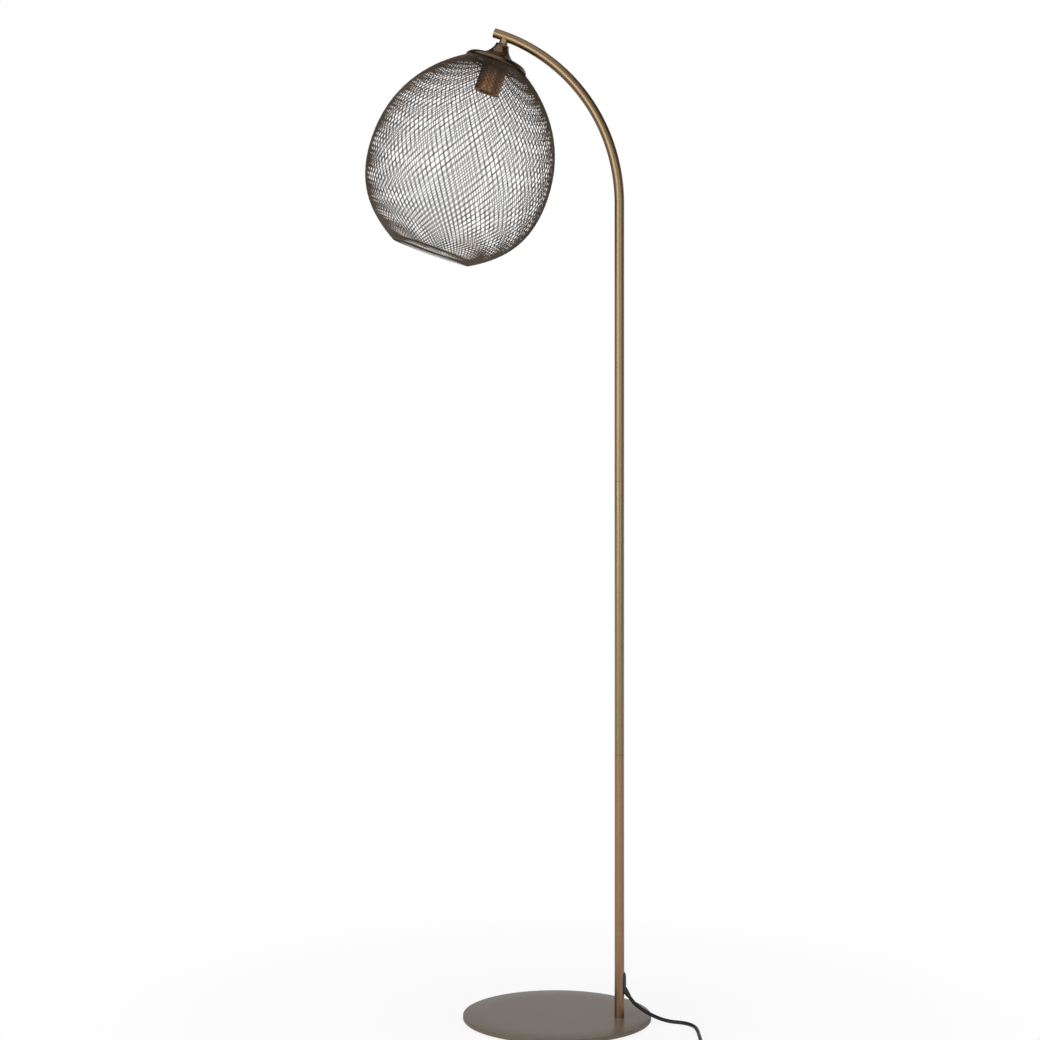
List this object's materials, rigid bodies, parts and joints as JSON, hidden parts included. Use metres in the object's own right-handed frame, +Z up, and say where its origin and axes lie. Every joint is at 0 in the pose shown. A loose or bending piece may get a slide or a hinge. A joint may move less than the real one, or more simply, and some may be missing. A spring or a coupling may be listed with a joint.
{
  "type": "floor lamp",
  "caption": "Floor lamp with a round flat base, a bronze tube pole bent over at the top and an egg-shaped shade of crossed wires hanging under a trumpet-shaped cap.",
  "frame": {"origin": "on the floor under the centre of the round base", "axes": "+Z up; the pole stands towards +X and its arm reaches over towards -X; -Y is the front, where the spare cord lies"},
  "size_m": [0.5557, 0.4727, 1.5839],
  "materials": {
    "base_metal": "satin taupe bronze lacquer",
    "bronze": "satin bronze lacquer",
    "cap_bronze": "satin dark bronze lacquer",
    "wire": "satin dark bronze lacquer",
    "felt": "matt pressed felt",
    "steel": "zinc plated",
    "brass": "bright",
    "cord": "satin black sheath",
    "cord_moulding": "satin dark moulding",
    "lead": "satin",
    "switch_plastic": "fine matt",
    "holder_plastic": "matt"
  },
  "bodies": {
    "stand": {"base_plate": "base_metal", "base_felt": "felt", "bolt_washer": "steel", "pole_bolt": "steel", "pole_lower": "bronze", "pole_middle": "bronze", "pole_foot_insert": "steel", "joint_sockets": "steel", "joint_studs": "steel", "arm_tube": "bronze", "arm_end_plug": "bronze", "arm_stub": "bronze", "inner_cable": "cord", "arm_leads": "lead", "cord_outlet": "cord_moulding", "cord_lead": "cord", "cord_middle": "cord", "cord_end": "cord", "cord_coil": "cord", "cord_tie": "cord_moulding", "foot_switch_base": "switch_plastic", "foot_switch_cover": "switch_plastic", "foot_switch_contacts": "holder_plastic", "foot_switch_spring": "steel", "foot_switch_screws": "steel", "foot_switch_boots": "cord_moulding", "plug_body": "switch_plastic", "plug_boot": "cord_moulding", "plug_pins": "brass"},
    "head": {"shade_cap": "cap_bronze", "swivel_washer": "bronze", "threaded_stem": "steel", "star_washer": "steel", "stem_nuts": "steel", "cage_wires_inner_even": "wire", "cage_wires_inner_odd": "wire", "cage_wires_outer_even": "wire", "cage_wires_outer_odd": "wire", "cage_top_ring": "wire", "cage_bottom_ring": "wire", "cage_carrier": "bronze", "lampholder_cover": "cap_bronze", "lampholder_body": "holder_plastic", "socket_shell": "brass", "centre_contact": "brass", "terminal_screws": "brass", "socket_leads": "lead"},
    "switch_button": {"foot_switch_button": "switch_plastic"}
  },
  "joints": [
    {"name": "head_swivel", "type": "hinge", "parent": "stand", "child": "head", "pos_m": [-0.08343, 0, 1.56979], "axis": [0.3355, 0, 0.9421], "range_deg": [-170, 170]},
    {"name": "switch_press", "type": "slide", "parent": "stand", "child": "switch_button", "axis": [0, 0, -1], "range_m": [0, 0.003], "stiffness_N_per_m": 800, "springref_m": -0.002, "deforming": ["foot_switch_spring"]}
  ]
}
